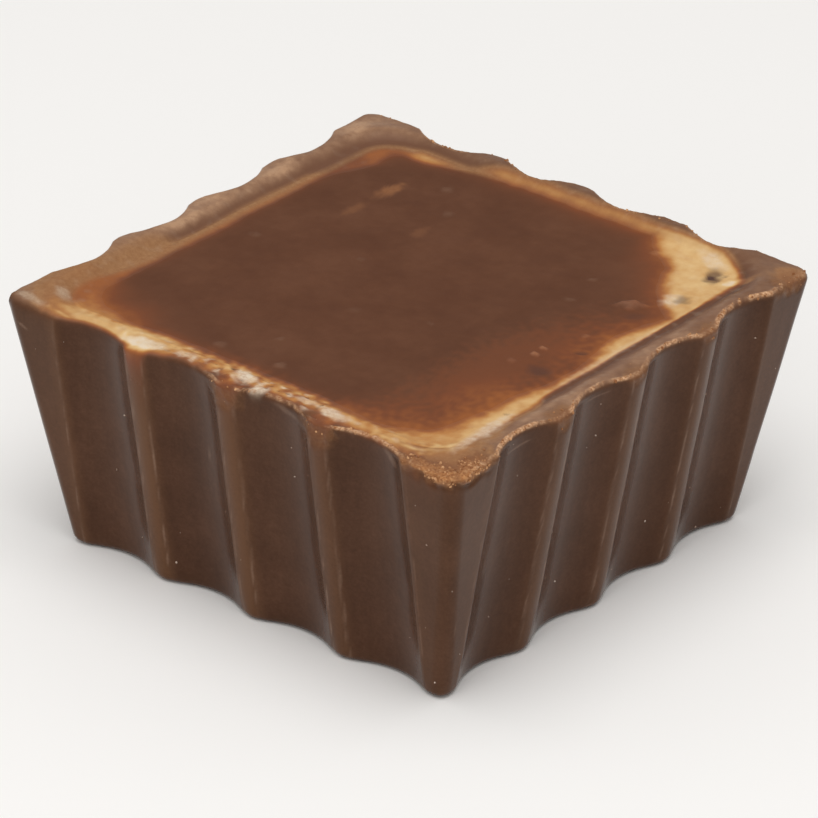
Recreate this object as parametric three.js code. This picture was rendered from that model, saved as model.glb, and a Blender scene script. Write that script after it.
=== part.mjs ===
// A moulded milk chocolate square: a tapered shell with fluted sides, open at the top, a pale filling
// in its tub, and a thin brown coat that closes the filling but leaves it bare at one corner and in a
// band round the edge. Millimetres, +Z up, origin at the centre of the base, front side facing -Y.
import * as THREE from "three";

// Shell: sides are measured across opposite rib crests
const TOP_SIDE = 30;
const BASE_SIDE = 25.3;
const HEIGHT = 14.5;
const TOP_CORNER_RADIUS = 0.87;
const BASE_CORNER_RADIUS = 0.45;
const BASE_ROUND = 0.45;
const RIM_ROUND = 0.3;

// Flutes: as wide and as far apart at the base as at the rim, so the corner ribs take up the taper
const FLUTES_PER_SIDE = 4;
const FLUTE_PITCH = 6.03;
const FLUTE_WIDTH = 4.98;
const FLUTE_DEPTH = 0.79;

// Tub: its mouth, at the rim; its wall runs parallel to the outside
const TUB_LENGTH_X = 25.3;
const TUB_LENGTH_Y = 26.2;
const TUB_CORNER_RADIUS = 2;
const TUB_LIP_ROUND = 0.2;
const TUB_FLOOR = 2.3;
const TUB_FLOOR_ROUND = 1.2;

// Filling and coat: drops are measured down from the rim
const FILLING_DROP = 0.14;
const BAND_DROP = 0.3;
const COAT_DROP = 0.36;
const COAT_LENGTH_X = 23.3;
const COAT_LENGTH_Y = 24.2;
const COAT_CENTRE = new THREE.Vector2(-0.3, 0.2);
const COAT_CORNER_RADIUS = 1.6;
const COAT_THICKNESS = 0.62;
const COAT_EDGE_THICKNESS = 0.12;
const COAT_BEVEL = 1.1;
const BARE_CORNER = 5.4; // how far the coat stops short of the back right corner, along each side
const LAYER_GAP = 0.05; // hair gap between one layer and the next

// Wear of the rim: broken rib tops on the front and at the front right corner, and a scraped top
const CHIP_REACH = 1.3;
const CHIP_WIDTH = 1.0;
const CHIP_DEPTH = 0.42;
const SCRAPE_DEPTH = 0.14;
const RAGGED_DEPTH = 0.1;
const TUB_UNEVENNESS = 0.12;
const COAT_UNEVENNESS = 0.3;

// Shares of a turn that spread the phases of the unevenness
const SEED_STEP = 0.754877;
const WAVE_STEP = 0.569841;

// Divisions of the meshes
const FLUTE_STEPS = 8;
const RIB_STEPS = 2;
const CORNER_STEPS = 4;
const ROUND_STEPS = 3;

const SIDES = 4;
const TAPER = (TOP_SIDE - BASE_SIDE) / 2 / HEIGHT;
const FLUTE_RADIUS = (FLUTE_WIDTH ** 2 / 4 + FLUTE_DEPTH ** 2) / (2 * FLUTE_DEPTH);
const FLUTED_HALF = ((FLUTES_PER_SIDE - 1) * FLUTE_PITCH + FLUTE_WIDTH) / 2;
const RIM_FLAT_HALF = TOP_SIDE / 2 - TOP_CORNER_RADIUS;

// A smooth unevenness between -1 and 1 that closes on itself after one turn: a few sine waves of equal
// height, whose phases are drawn from the seed
function makeRipple(seed, waveCounts) {
  const waves = waveCounts.map((count, index) => ({
    count,
    phase: 2 * Math.PI * THREE.MathUtils.euclideanModulo(seed * SEED_STEP + index * WAVE_STEP, 1),
  }));
  const heightOf = (wave, turn) => Math.sin(2 * Math.PI * wave.count * turn + wave.phase);
  return (turn) => waves.reduce((sum, wave) => sum + heightOf(wave, turn), 0) / waves.length;
}

const scrapeRipple = makeRipple(1, [5, 11, 23]);
const raggedRipple = makeRipple(2, [13, 29, 47]);
const tubRipple = makeRipple(3, [3, 7, 13]);
const coatRipple = makeRipple(4, [3, 5, 8, 13]);

// How deep the fluted wall lies behind the rib crests, at a place along a side
function fluteDepthAt(along) {
  const fromFirst = along + ((FLUTES_PER_SIDE - 1) * FLUTE_PITCH) / 2;
  const nearest = THREE.MathUtils.clamp(Math.round(fromFirst / FLUTE_PITCH), 0, FLUTES_PER_SIDE - 1);
  const offset = Math.min(Math.abs(fromFirst - nearest * FLUTE_PITCH), FLUTE_WIDTH / 2);
  return Math.sqrt(FLUTE_RADIUS ** 2 - offset ** 2) - FLUTE_RADIUS + FLUTE_DEPTH;
}

// The stations round an outline, counter-clockwise from the front left corner. A station on a side's flat
// has a place along it; one at an end of the flat has its end, and past the end an angle round the corner.
function makeStations() {
  const places = [];
  for (let flute = 0; flute < FLUTES_PER_SIDE; flute += 1) {
    const start = -FLUTED_HALF + flute * FLUTE_PITCH;
    for (let step = 0; step <= FLUTE_STEPS; step += 1) {
      places.push(start + (step / FLUTE_STEPS) * FLUTE_WIDTH);
    }
    for (let step = 1; step < RIB_STEPS && flute < FLUTES_PER_SIDE - 1; step += 1) {
      places.push(start + FLUTE_WIDTH + (step / RIB_STEPS) * (FLUTE_PITCH - FLUTE_WIDTH));
    }
  }
  const stations = [];
  for (let side = 0; side < SIDES; side += 1) {
    stations.push({ side, along: -RIM_FLAT_HALF, end: -1, angle: 0 });
    places.forEach((along) => stations.push({ side, along, end: 0, angle: 0 }));
    for (let step = 0; step < CORNER_STEPS; step += 1) {
      const angle = ((step / CORNER_STEPS) * Math.PI) / 2;
      stations.push({ side, along: RIM_FLAT_HALF, end: 1, angle });
    }
  }
  return stations.map((station, index) => ({ ...station, turn: index / stations.length }));
}

const stations = makeStations();

// A point of a side's own frame, along the side and out from the middle, turned into the part's frame
function placeOnSide(side, along, out) {
  const turn = (side * Math.PI) / 2;
  return new THREE.Vector2(
    along * Math.cos(turn) + out * Math.sin(turn),
    along * Math.sin(turn) - out * Math.cos(turn),
  );
}

// The fluted outline of the outside at one height, drawn in by an inset that may vary round it
function wallOutline(height, insetAt) {
  const radius = THREE.MathUtils.lerp(BASE_CORNER_RADIUS, TOP_CORNER_RADIUS, height / HEIGHT);
  return stations.map((station) => {
    const halfSide = BASE_SIDE / 2 + TAPER * height - insetAt(station);
    const along = station.end === 0 ? station.along : station.end * (halfSide - radius);
    const depth = station.end === 0 ? fluteDepthAt(station.along) : 0;
    return placeOnSide(
      station.side,
      along + radius * Math.sin(station.angle),
      halfSide - depth - radius * (1 - Math.cos(station.angle)),
    );
  });
}

// A plain rounded rectangle through the same stations
function plainOutline(lengthX, lengthY, radius, growAt) {
  return stations.map((station) => {
    const lengthwise = station.side % 2 === 0;
    const grow = growAt(station);
    const halfAlong = (lengthwise ? lengthX : lengthY) / 2 + grow;
    const halfOut = (lengthwise ? lengthY : lengthX) / 2 + grow;
    const place = station.along / RIM_FLAT_HALF;
    const along = place * (halfAlong - radius) + radius * Math.sin(station.angle);
    return placeOnSide(station.side, along, halfOut - radius * (1 - Math.cos(station.angle)));
  });
}

function tubOutline(height, grow) {
  const taperedIn = TAPER * (HEIGHT - height);
  return plainOutline(TUB_LENGTH_X, TUB_LENGTH_Y, TUB_CORNER_RADIUS, (station) => (
    grow - taperedIn + TUB_UNEVENNESS * tubRipple(station.turn)
  ));
}

// The coat's outline, cut off slantwise where the back right corner is left bare
function coatOutline(grow) {
  const reach = (COAT_LENGTH_X + COAT_LENGTH_Y) / 2 - BARE_CORNER + grow;
  const whole = plainOutline(COAT_LENGTH_X, COAT_LENGTH_Y, COAT_CORNER_RADIUS, (station) => (
    grow + COAT_UNEVENNESS * coatRipple(station.turn)
  ));
  return whole.map((point) => {
    const past = Math.max(0, point.x + point.y - reach) / 2;
    return new THREE.Vector2(point.x - past, point.y - past).add(COAT_CENTRE);
  });
}

// A ring is an outline lifted to a height, which may vary round it
function ring(outline, heightAt) {
  return outline.map((point, index) => new THREE.Vector3(point.x, point.y, heightAt(stations[index])));
}

// A closed body through rings of equal length, from the middle of its underside out, up and over
function loft(rings, startHeight, endHeight, centre = new THREE.Vector2()) {
  const count = stations.length;
  const start = new THREE.Vector3(centre.x, centre.y, startHeight);
  const end = new THREE.Vector3(centre.x, centre.y, endHeight);
  const points = [start, ...rings.flat(), end];
  const endIndex = points.length - 1;
  const faces = [];
  for (let place = 0; place < count; place += 1) {
    const next = (place + 1) % count;
    faces.push(0, 1 + next, 1 + place);
    for (let level = 0; level < rings.length - 1; level += 1) {
      const lower = 1 + level * count;
      const upper = lower + count;
      faces.push(lower + place, lower + next, upper + next);
      faces.push(lower + place, upper + next, upper + place);
    }
    const last = 1 + (rings.length - 1) * count;
    faces.push(endIndex, last + place, last + next);
  }
  const geometry = new THREE.BufferGeometry().setFromPoints(points);
  geometry.setIndex(faces);
  geometry.computeVertexNormals();
  return geometry;
}

// Chips broken out of the rim: rib tops of the front, and the corner where the front meets the right side
const chips = [
  placeOnSide(0, 0, TOP_SIDE / 2),
  placeOnSide(0, FLUTE_PITCH, TOP_SIDE / 2),
  placeOnSide(0, TOP_SIDE / 2, TOP_SIDE / 2),
  placeOnSide(1, -FLUTE_PITCH, TOP_SIDE / 2),
];

// How far the rim is worn back at a station: most at the heart of a chip, and a little all round
const rimOutline = wallOutline(HEIGHT, () => 0);
const wearAtStation = new Map(stations.map((station, index) => {
  const nearest = Math.min(...chips.map((chip) => chip.distanceTo(rimOutline[index])));
  const chipped = CHIP_DEPTH * Math.exp(-((nearest / CHIP_WIDTH) ** 2));
  return [station, chipped + RAGGED_DEPTH * Math.max(0, raggedRipple(station.turn))];
}));

function buildShell() {
  const rings = [];
  for (let step = 0; step <= ROUND_STEPS; step += 1) {
    const angle = ((step / ROUND_STEPS) * Math.PI) / 2;
    const height = BASE_ROUND * (1 - Math.cos(angle));
    const inset = BASE_ROUND * (1 - Math.sin(angle));
    rings.push(ring(wallOutline(height, () => inset), () => height));
  }
  rings.push(ring(wallOutline(HEIGHT - CHIP_REACH, () => 0), () => HEIGHT - CHIP_REACH));

  for (let step = 0; step <= ROUND_STEPS; step += 1) {
    const angle = ((step / ROUND_STEPS) * Math.PI) / 2;
    const inset = RIM_ROUND * (1 - Math.cos(angle));
    const drop = RIM_ROUND * (1 - Math.sin(angle));
    const outline = wallOutline(HEIGHT - drop, (station) => inset + wearAtStation.get(station));
    rings.push(ring(outline, (station) => HEIGHT - drop - wearAtStation.get(station) * Math.cos(angle)));
  }

  const rimEdge = rings[rings.length - 1];
  const lip = tubOutline(HEIGHT, TUB_LIP_ROUND);
  const scraped = rimEdge.map((point, index) => new THREE.Vector2(point.x, point.y).lerp(lip[index], 0.5));
  rings.push(ring(scraped, (station) => HEIGHT - SCRAPE_DEPTH * (0.5 + 0.5 * scrapeRipple(station.turn))));
  rings.push(ring(lip, () => HEIGHT - TUB_LIP_ROUND / 4));
  rings.push(ring(tubOutline(HEIGHT, 0), () => HEIGHT - TUB_LIP_ROUND));
  rings.push(ring(tubOutline(TUB_FLOOR + TUB_FLOOR_ROUND, 0), () => TUB_FLOOR + TUB_FLOOR_ROUND));
  rings.push(ring(tubOutline(TUB_FLOOR, -TUB_FLOOR_ROUND), () => TUB_FLOOR));
  return loft(rings, 0, TUB_FLOOR);
}

const dishFloor = HEIGHT - COAT_DROP - COAT_THICKNESS;
const bandHeight = HEIGHT - BAND_DROP;

function buildFilling() {
  const floor = TUB_FLOOR + LAYER_GAP;
  const edge = HEIGHT - FILLING_DROP - TUB_LIP_ROUND;
  const rings = [
    ring(tubOutline(TUB_FLOOR, -TUB_FLOOR_ROUND - LAYER_GAP), () => floor),
    ring(tubOutline(floor + TUB_FLOOR_ROUND, -LAYER_GAP), () => floor + TUB_FLOOR_ROUND),
    ring(tubOutline(edge, -LAYER_GAP), () => edge),
    ring(coatOutline(LAYER_GAP), () => bandHeight),
    ring(coatOutline(LAYER_GAP), () => bandHeight - COAT_EDGE_THICKNESS),
    ring(coatOutline(-COAT_BEVEL), () => dishFloor),
  ];
  return loft(rings, floor, dishFloor, COAT_CENTRE);
}

function buildTopCoat() {
  const underside = dishFloor + LAYER_GAP;
  const middle = HEIGHT - COAT_DROP;
  const edgeFoot = bandHeight - COAT_EDGE_THICKNESS + LAYER_GAP;
  const rings = [
    ring(coatOutline(-COAT_BEVEL), () => underside),
    ring(coatOutline(0), () => edgeFoot),
    ring(coatOutline(0), () => bandHeight + LAYER_GAP),
    ring(coatOutline(-COAT_BEVEL), () => middle),
  ];
  return loft(rings, underside, middle, COAT_CENTRE);
}

const shellMaterial = new THREE.MeshStandardMaterial({ color: "#5a4032", roughness: 0.45, metalness: 0 });
const fillingMaterial = new THREE.MeshStandardMaterial({ color: "#d8b27a", roughness: 0.6, metalness: 0 });
const coatMaterial = new THREE.MeshStandardMaterial({ color: "#644231", roughness: 0.5, metalness: 0 });

function makePiece(name, geometry, material) {
  const piece = new THREE.Mesh(geometry, material);
  piece.name = name;
  return piece;
}

const chocolateSquare = new THREE.Group();
chocolateSquare.add(
  makePiece("shell", buildShell(), shellMaterial),
  makePiece("filling", buildFilling(), fillingMaterial),
  makePiece("top_coat", buildTopCoat(), coatMaterial),
);

export default chocolateSquare;
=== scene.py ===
import math
from functools import partialmethod

import bpy
import numpy as np
from mathutils import Matrix, Vector


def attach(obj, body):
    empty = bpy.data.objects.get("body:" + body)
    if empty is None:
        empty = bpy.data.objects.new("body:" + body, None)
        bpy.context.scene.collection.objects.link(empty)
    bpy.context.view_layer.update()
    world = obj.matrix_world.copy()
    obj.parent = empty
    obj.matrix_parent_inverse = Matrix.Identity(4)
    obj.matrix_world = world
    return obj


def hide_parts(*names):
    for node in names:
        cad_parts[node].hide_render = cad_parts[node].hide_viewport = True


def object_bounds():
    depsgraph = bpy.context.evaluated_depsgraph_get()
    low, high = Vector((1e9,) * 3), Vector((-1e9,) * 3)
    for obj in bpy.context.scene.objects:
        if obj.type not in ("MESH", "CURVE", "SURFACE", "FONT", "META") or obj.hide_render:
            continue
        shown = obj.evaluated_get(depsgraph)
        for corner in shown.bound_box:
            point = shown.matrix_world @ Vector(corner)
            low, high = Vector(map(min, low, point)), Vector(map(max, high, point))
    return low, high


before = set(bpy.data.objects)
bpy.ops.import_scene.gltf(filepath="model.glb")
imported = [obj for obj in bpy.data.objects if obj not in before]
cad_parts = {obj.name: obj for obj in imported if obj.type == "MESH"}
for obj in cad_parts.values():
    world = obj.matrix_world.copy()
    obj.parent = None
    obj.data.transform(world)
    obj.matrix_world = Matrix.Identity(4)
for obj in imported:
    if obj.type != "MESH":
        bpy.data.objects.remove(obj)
scene = bpy.context.scene
cadLow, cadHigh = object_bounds()
mm = 0.001  # the sizes in this script are millimetres, Blender's are metres
rimHeight = (cadHigh.z - cadLow.z) / mm
quarterTurn = math.pi / 2
print("frame loaded:", ", ".join(sorted(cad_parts)))


def addObject(name, data):
    made = bpy.data.objects.new(name, data)
    scene.collection.objects.link(made)
    return made


# camera, at the photograph's angle

cameraLook = {
    "azimuth": 38.634,
    "elevation": 28.13,
    "roll": 1.15,
    "distance": 284.87,
    "target": Vector((0.0, 0.0, 7.5)),
    "slideRight": 0.016,
    "slideUp": -0.272,
    "focalPixels": 5438.24,
    "imagePixels": 818,
    "sensor": 36.0,
}


def lookFrom(azimuth, elevation):
    turn = math.radians(azimuth)
    lift = math.radians(elevation)
    flat = math.cos(lift)
    return Vector((math.sin(turn) * flat, -math.cos(turn) * flat, math.sin(lift)))


def makeCamera(look):
    back = lookFrom(look["azimuth"], look["elevation"])
    right = Vector((0, 0, 1)).cross(back).normalized()
    up = back.cross(right)
    tilt = math.radians(look["roll"])
    across = right * math.cos(tilt) + up * math.sin(tilt)
    upright = up * math.cos(tilt) - right * math.sin(tilt)
    target = look["target"] + across * look["slideRight"] + upright * look["slideUp"]
    data = bpy.data.cameras.new("camera")
    data.sensor_width = look["sensor"]
    data.lens = look["sensor"] * look["focalPixels"] / look["imagePixels"]
    data.clip_start = 0.01
    camera = addObject("camera", data)
    turned = Matrix((across, upright, back)).transposed().to_4x4()
    camera.matrix_world = Matrix.Translation((target + back * look["distance"]) * mm) @ turned
    scene.camera = camera


makeCamera(cameraLook)
print("camera placed")


# a number that nodes work out, so that a tree reads like a sum
class Rule:
    def __init__(self, tree, socket):
        self.tree = tree
        self.socket = socket

    def work(self, operation, *others, clamp=False):
        made = addNode(self.tree, "ShaderNodeMath", operation=operation, use_clamp=clamp)
        for slot, value in zip(made.inputs, (self, *others)):
            feed(self.tree, slot, value)
        return Rule(self.tree, made.outputs[0])

    __add__ = partialmethod(work, "ADD")
    __sub__ = partialmethod(work, "SUBTRACT")
    __mul__ = partialmethod(work, "MULTIPLY")
    __truediv__ = partialmethod(work, "DIVIDE")
    clamped = partialmethod(work, "ADD", 0.0, clamp=True)
    sin = partialmethod(work, "SINE")
    cos = partialmethod(work, "COSINE")
    atLeast = partialmethod(work, "MAXIMUM")
    atMost = partialmethod(work, "MINIMUM")

    def __rsub__(self, other):
        return self.work("MULTIPLY_ADD", -1.0, other)

    def towards(self, other, share):
        return self + (other - self) * share


def feed(tree, slot, value):
    if isinstance(value, Rule):
        value = value.socket
    if isinstance(value, bpy.types.NodeSocket):
        tree.links.new(value, slot)
    else:
        slot.default_value = value


def addNode(tree, kind, inputs=None, **settings):
    made = tree.nodes.new(kind)
    for key, value in settings.items():
        setattr(made, key, value)
    for key, value in (inputs or {}).items():
        feed(tree, made.inputs[key], value)
    return made


# Geometry Nodes trees: every size in a piece's dictionary becomes a named input

def openTree(name, sizes):
    tree = bpy.data.node_groups.new(name, "GeometryNodeTree")
    for end in ("INPUT", "OUTPUT"):
        tree.interface.new_socket("Geometry", in_out=end, socket_type="NodeSocketGeometry")
    for key, value in sizes.items():
        kind = "NodeSocketInt" if isinstance(value, int) else "NodeSocketFloat"
        tree.interface.new_socket(key, in_out="INPUT", socket_type=kind)
    entry = tree.nodes.new("NodeGroupInput")
    return tree, {key: Rule(tree, entry.outputs[key]) for key in sizes}


def passOn(tree, geometry, kind, inputs=None, **settings):
    made = addNode(tree, "GeometryNode" + kind, {"Geometry": geometry, **(inputs or {})}, **settings)
    return made.outputs[0]


def closeTree(tree, geometry, material):
    geometry = passOn(tree, geometry, "RealizeInstances")
    geometry = passOn(tree, geometry, "SetMaterial", {"Material": material})
    tree.links.new(geometry, tree.nodes.new("NodeGroupOutput").inputs[0])
    return tree


def runTree(tree, name, sizes, carrier=None):
    piece = addObject(name, carrier or bpy.data.meshes.new(name))
    maker = piece.modifiers.new("maker", "NODES")
    maker.node_group = tree
    for item in tree.interface.items_tree:
        if item.in_out == "INPUT" and item.name in sizes:
            maker[item.identifier] = sizes[item.name]
    graph = bpy.context.evaluated_depsgraph_get()
    made = bpy.data.meshes.new_from_object(
        piece.evaluated_get(graph), preserve_all_data_layers=True, depsgraph=graph
    )
    piece.modifiers.remove(maker)
    piece.data = made
    made.name = name
    print(name, "made,", len(made.polygons), "faces")
    return piece


# materials: colours are given as they look under an even light

def tone(red, green, blue):
    shades = [value / 255 for value in (red, green, blue)]
    return tuple(
        shade / 12.92 if shade <= 0.04045 else ((shade + 0.055) / 1.055) ** 2.4 for shade in shades
    ) + (1.0,)


def openMaterial(name):
    material = bpy.data.materials.new(name)
    material.use_nodes = True
    tree = material.node_tree
    return material, tree, tree.nodes["Principled BSDF"]


def grain(tree, size, detail=3.0, harshness=0.55, stretch=(1, 1, 1)):
    where = tree.nodes.new("ShaderNodeTexCoord")
    spread = addNode(tree, "ShaderNodeMapping", {"Vector": where.outputs["Object"], "Scale": stretch})
    cloud = addNode(tree, "ShaderNodeTexNoise", {
        "Vector": spread.outputs[0],
        "Scale": 1 / (size * mm),
        "Detail": detail,
        "Roughness": harshness,
    })
    return Rule(tree, cloud.outputs[0])


def painted(tree, name):
    return Rule(tree, addNode(tree, "ShaderNodeAttribute", attribute_name=name).outputs["Fac"])


def ramp(tree, value, stops):
    made = addNode(tree, "ShaderNodeValToRGB", {"Fac": value})
    steps = made.color_ramp.elements
    steps[0].position, steps[0].color = stops[0]
    steps[1].position, steps[1].color = stops[-1]
    for position, colour in stops[1:-1]:
        steps.new(position).color = colour
    return made.outputs[0]


def blendColours(tree, share, first, second):
    made = addNode(tree, "ShaderNodeMix", data_type="RGBA")
    for slot, value in zip((made.inputs[0], made.inputs[6], made.inputs[7]), (share, first, second)):
        feed(tree, slot, value)
    return made.outputs[2]


def addBump(tree, shader, height, depth, strength=1.0):
    made = addNode(tree, "ShaderNodeBump", {"Height": height, "Distance": depth * mm, "Strength": strength})
    tree.links.new(made.outputs[0], shader.inputs["Normal"])


def setSurface(tree, shader, colour, roughness, gloss):
    feed(tree, shader.inputs["Base Color"], colour)
    feed(tree, shader.inputs["Roughness"], roughness)
    feed(tree, shader.inputs["Specular IOR Level"], gloss)


# brown coat over the cream, thinning out to amber, cream and a whitish smear
creamStops = [
    (0.0, tone(100, 66, 49)),
    (0.25, tone(121, 72, 48)),
    (0.45, tone(153, 93, 53)),
    (0.6, tone(183, 126, 71)),
    (0.75, tone(207, 163, 107)),
    (0.88, tone(221, 186, 132)),
    (1.0, tone(228, 208, 180)),
]


rimLook = {
    "dark": tone(112, 77, 58),
    # the rim's paler scraped colour, which also stands for its painted sheen
    "pale": tone(178, 140, 109),
    "milky": tone(222, 204, 180),
    "fleck": tone(84, 60, 52),
    "stainDeep": tone(143, 101, 67),  # cream scraped thin over the rim
    "stainPale": tone(161, 119, 82),
}


# a piece's own colour, then the scraped rim with its painted sheen, cream, and dark flecks with a painted
# shadow, that are painted on all of them
def skinColour(tree, own, mottle, look):
    scraped = painted(tree, "scraped")
    fine = grain(tree, 0.25, detail=4.0, harshness=0.7)
    # the rim is painted paler toward its crest: partly a paler scraped colour, partly painted sheen
    hazeAndSheen = (painted(tree, "hazeAndSheen") * (fine * 1.2 + 0.4)).clamped()
    rim = blendColours(tree, hazeAndSheen, look["dark"], look["pale"])
    bare = blendColours(tree, scraped, own, rim)
    cream = painted(tree, "cream")
    soft = grain(tree, 0.8, detail=2.0) - 0.5
    uneven = (cream + soft * mottle * cream.work("SQRT")).clamped()
    thin = (scraped * (1.0 - uneven) * 1.5).clamped()
    stain = ramp(tree, fine, [(0.3, look["stainDeep"]), (0.7, look["stainPale"])])
    smeared = blendColours(tree, thin, ramp(tree, uneven, creamStops), stain)
    creamed = blendColours(tree, (cream * 4.0).clamped(), bare, smeared)
    milky = painted(tree, "milky") * (fine * 2.0)
    veiled = blendColours(tree, milky.clamped(), creamed, look["milky"])
    return blendColours(tree, painted(tree, "shade"), veiled, look["fleck"])


wallLook = {
    "shadow": tone(68, 43, 29),
    "plain": tone(77, 50, 35),
    "bloom": tone(88, 59, 43),
    "rib": tone(100, 68, 46),
    "tornDeep": tone(142, 90, 54),
    "torn": tone(174, 119, 74),
    "tornPale": tone(206, 156, 108),
    "lipDeep": tone(150, 102, 67),
    "lip": tone(218, 176, 138),
    "scuffAndGlint": tone(134, 106, 88),
    "mottle": 0.2,
    "roughness": 0.14,
    "softRoughness": 0.3,  # more on the torn places and the cream
    "scrapedRoughness": 0.15,
    "gloss": 0.13,
    "sheen": (1.0, 0.87, 0.78, 1.0),  # the tint of its reflections
    "bumpDepth": 0.05,
}


def makeWallMaterial(look):
    material, tree, shader = openMaterial("moulded_milk_chocolate")
    cloudy = grain(tree, 4.0)
    speckled = grain(tree, 0.35, harshness=0.65)
    streaks = grain(tree, 0.8, detail=4.0, stretch=(1, 1, 0.12))
    dusty = grain(tree, 0.16, detail=2.0, harshness=0.6)
    plain = ramp(tree, cloudy * 0.4 + speckled * 0.2 + dusty * 0.2 + streaks * 0.2, [
        (0.38, look["shadow"]),
        (0.5, look["plain"]),
        (0.64, look["bloom"]),
    ])
    ribShare = painted(tree, "rib") * (streaks * 0.6 + dusty * 0.8 + 0.3)
    ribbed = blendColours(tree, ribShare, plain, look["rib"])
    # pale scuffs, and pale lines along the rib edges that are partly chips and partly a painted glint
    scuffedAndGlinting = blendColours(tree, painted(tree, "scuffAndGlint") * (dusty * 1.2 + 0.4), ribbed, look["scuffAndGlint"])
    crumb = ramp(tree, dusty, [(0.25, look["tornDeep"]), (0.5, look["torn"]), (0.8, look["tornPale"])])
    torn = painted(tree, "torn")
    broken = blendColours(tree, torn, scuffedAndGlinting, crumb)
    skin = skinColour(tree, broken, look["mottle"], rimLook)
    lipTone = ramp(tree, dusty, [(0.35, look["lipDeep"]), (0.7, look["lip"])])
    lipped = blendColours(tree, (painted(tree, "lip") * 1.3).clamped(), skin, lipTone)
    soft = (torn + painted(tree, "cream") * 2.0).clamped()
    roughness = cloudy * 0.06 + speckled * 0.06 + look["roughness"] + soft * look["softRoughness"]
    roughness = roughness + painted(tree, "scraped") * look["scrapedRoughness"]
    setSurface(tree, shader, lipped, roughness, look["gloss"])
    shader.inputs["Specular Tint"].default_value = look["sheen"]
    addBump(tree, shader, speckled * 0.1 + dusty * torn * 0.8, look["bumpDepth"])
    return material


fillingLook = {"under": tone(100, 66, 49), "mottle": 0.3, "roughness": 0.38, "gloss": 0.1, "bumpDepth": 0.04}


def makeFillingMaterial(look):
    material, tree, shader = openMaterial("pale_cream_filling")
    colour = skinColour(tree, look["under"], look["mottle"], rimLook)
    roughness = grain(tree, 0.8) * 0.2 + look["roughness"]
    setSurface(tree, shader, colour, roughness, look["gloss"])
    addBump(tree, shader, grain(tree, 0.3, detail=4.0, harshness=0.65), look["bumpDepth"], 0.6)
    return material


coatLook = {
    "deep": tone(92, 59, 43),
    "plain": tone(97, 63, 46),
    "warm": tone(103, 68, 50),
    "mottle": 0.2,
    "roughness": 0.36,
    "gloss": 0.02,
    "bumpDepth": 0.03,
}


def makeCoatMaterial(look):
    material, tree, shader = openMaterial("satin_brown_coat")
    own = ramp(tree, grain(tree, 3.5, detail=4.0) * 0.7 + grain(tree, 0.7) * 0.3, [
        (0.35, look["deep"]),
        (0.5, look["plain"]),
        (0.65, look["warm"]),
    ])
    colour = skinColour(tree, own, look["mottle"], rimLook)
    roughness = grain(tree, 1.2) * 0.2 + look["roughness"]
    setSurface(tree, shader, colour, roughness, look["gloss"])
    addBump(tree, shader, grain(tree, 0.5, detail=4.0), look["bumpDepth"], 0.5)
    return material


crumbLook = {
    "material": "broken_chocolate_crumb",
    "brown": tone(142, 92, 57),
    "pale": tone(206, 158, 115),
    "mottle": 0.5,
    "roughGrain": 0.15,
    "roughness": 0.5,
    "roughSpread": 0.3,
    "gloss": 0.1,
}
dustLook = {
    "material": "pale_sugar_dust",
    "brown": tone(150, 122, 102),
    "pale": tone(222, 204, 188),
    "mottle": 0.3,
    "roughGrain": 0.1,
    "roughness": 0.6,
    "roughSpread": 0.2,
    "gloss": 0.25,
}


# each lump has a tint of its own, and is mottled round it
def makeLumpMaterial(look):
    material, tree, shader = openMaterial(look["material"])
    shade = painted(tree, "tint") + grain(tree, 0.2) * look["mottle"] - look["mottle"] / 2
    colour = ramp(tree, shade.clamped(), [(0.0, look["brown"]), (1.0, look["pale"])])
    roughness = grain(tree, look["roughGrain"]) * look["roughSpread"] + look["roughness"]
    setSurface(tree, shader, colour, roughness, look["gloss"])
    return material


# shapes of the open top, shared by the case, the filling and the coat

def smooth(value, low, high):
    part = np.clip((value - low) / (high - low), 0, 1)
    return part * part * (3 - 2 * part)


latticeSide = 97
hillHeight = 1.5


# smooth seeded hills between about -1 and 1, each about one size across
def hills(x, y, size, seed):
    angles = np.random.default_rng(seed).uniform(0, 2 * np.pi, (latticeSide, latticeSide))
    u = x / size + seed
    v = y / size - seed
    column = np.floor(u).astype(int)
    line = np.floor(v).astype(int)
    partU = u - column
    partV = v - line

    def slopeAt(stepU, stepV):
        angle = angles[(column + stepU) % latticeSide, (line + stepV) % latticeSide]
        return np.cos(angle) * (partU - stepU) + np.sin(angle) * (partV - stepV)

    easeU = partU ** 3 * (partU * (partU * 6 - 15) + 10)
    easeV = partV ** 3 * (partV * (partV * 6 - 15) + 10)
    near = slopeAt(0, 0) * (1 - easeU) + slopeAt(1, 0) * easeU
    far = slopeAt(0, 1) * (1 - easeU) + slopeAt(1, 1) * easeU
    return hillHeight * (near * (1 - easeV) + far * easeV)


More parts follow.
